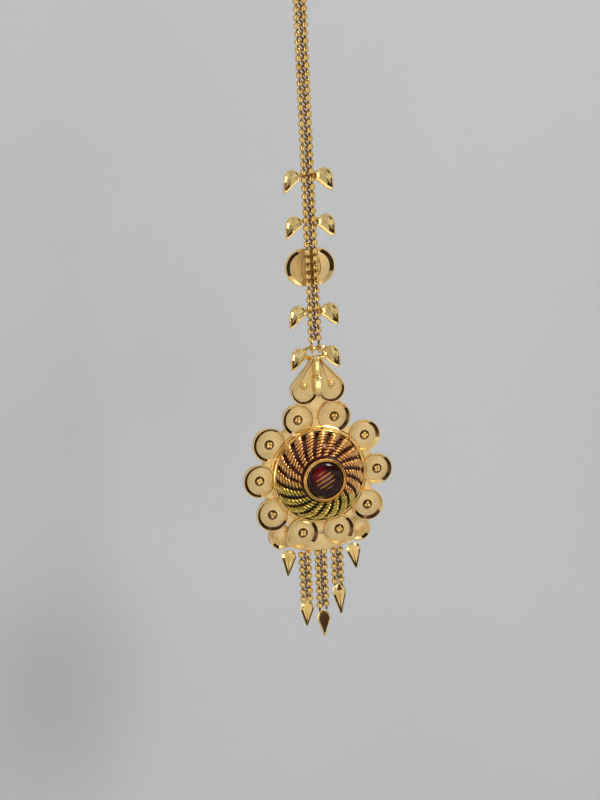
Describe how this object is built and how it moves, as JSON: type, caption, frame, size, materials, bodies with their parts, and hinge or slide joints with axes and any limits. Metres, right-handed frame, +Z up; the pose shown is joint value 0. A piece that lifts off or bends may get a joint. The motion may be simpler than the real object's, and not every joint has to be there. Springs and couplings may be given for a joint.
{
  "type": "maang tikka",
  "caption": "Forehead jewel: a lacquered rib dome with a red stone in a rosette of cup petals, hung from a hair hook on a fine chain, with a short chain fringe below",
  "frame": {"origin": "inside top of the hook's crook, where the jewel hangs from the hair", "axes": "+Z up along the chain, -Y out of the front of the jewel, +X to the viewer's right"},
  "size_m": [0.028, 0.0078, 0.1304],
  "materials": {
    "satin_gold": "matte, faintly brushed yellow gold with engraved lines",
    "polished_gold": "bright polished yellow gold",
    "cut_gold": "mirror-bright diamond-cut facets",
    "lacquered_filigree": "twisted gold wire under clear red and green lacquer",
    "garnet": "glossy dark red cabochon"
  },
  "bodies": {
    "chain_and_hook": {"hook": "polished_gold", "chain": "polished_gold", "leaf_pair_1": "cut_gold", "leaf_pair_2": "cut_gold", "leaf_pair_3": "cut_gold", "twin_disc": "satin_gold"},
    "pendant": {"pendant_frame": "satin_gold", "dome": "lacquered_filigree", "bezel": "polished_gold", "stone": "garnet", "fringe_chain_left": "polished_gold", "fringe_chain_middle": "polished_gold", "fringe_chain_right": "polished_gold", "bud_left": "cut_gold", "bud_middle": "cut_gold", "bud_right": "cut_gold"}
  },
  "joints": [
    {"name": "pendant_swing", "type": "hinge", "parent": "chain_and_hook", "child": "pendant", "pos_m": [0, 0, -0.0749], "axis": [1, 0, 0], "range_deg": [-75, 75]}
  ]
}
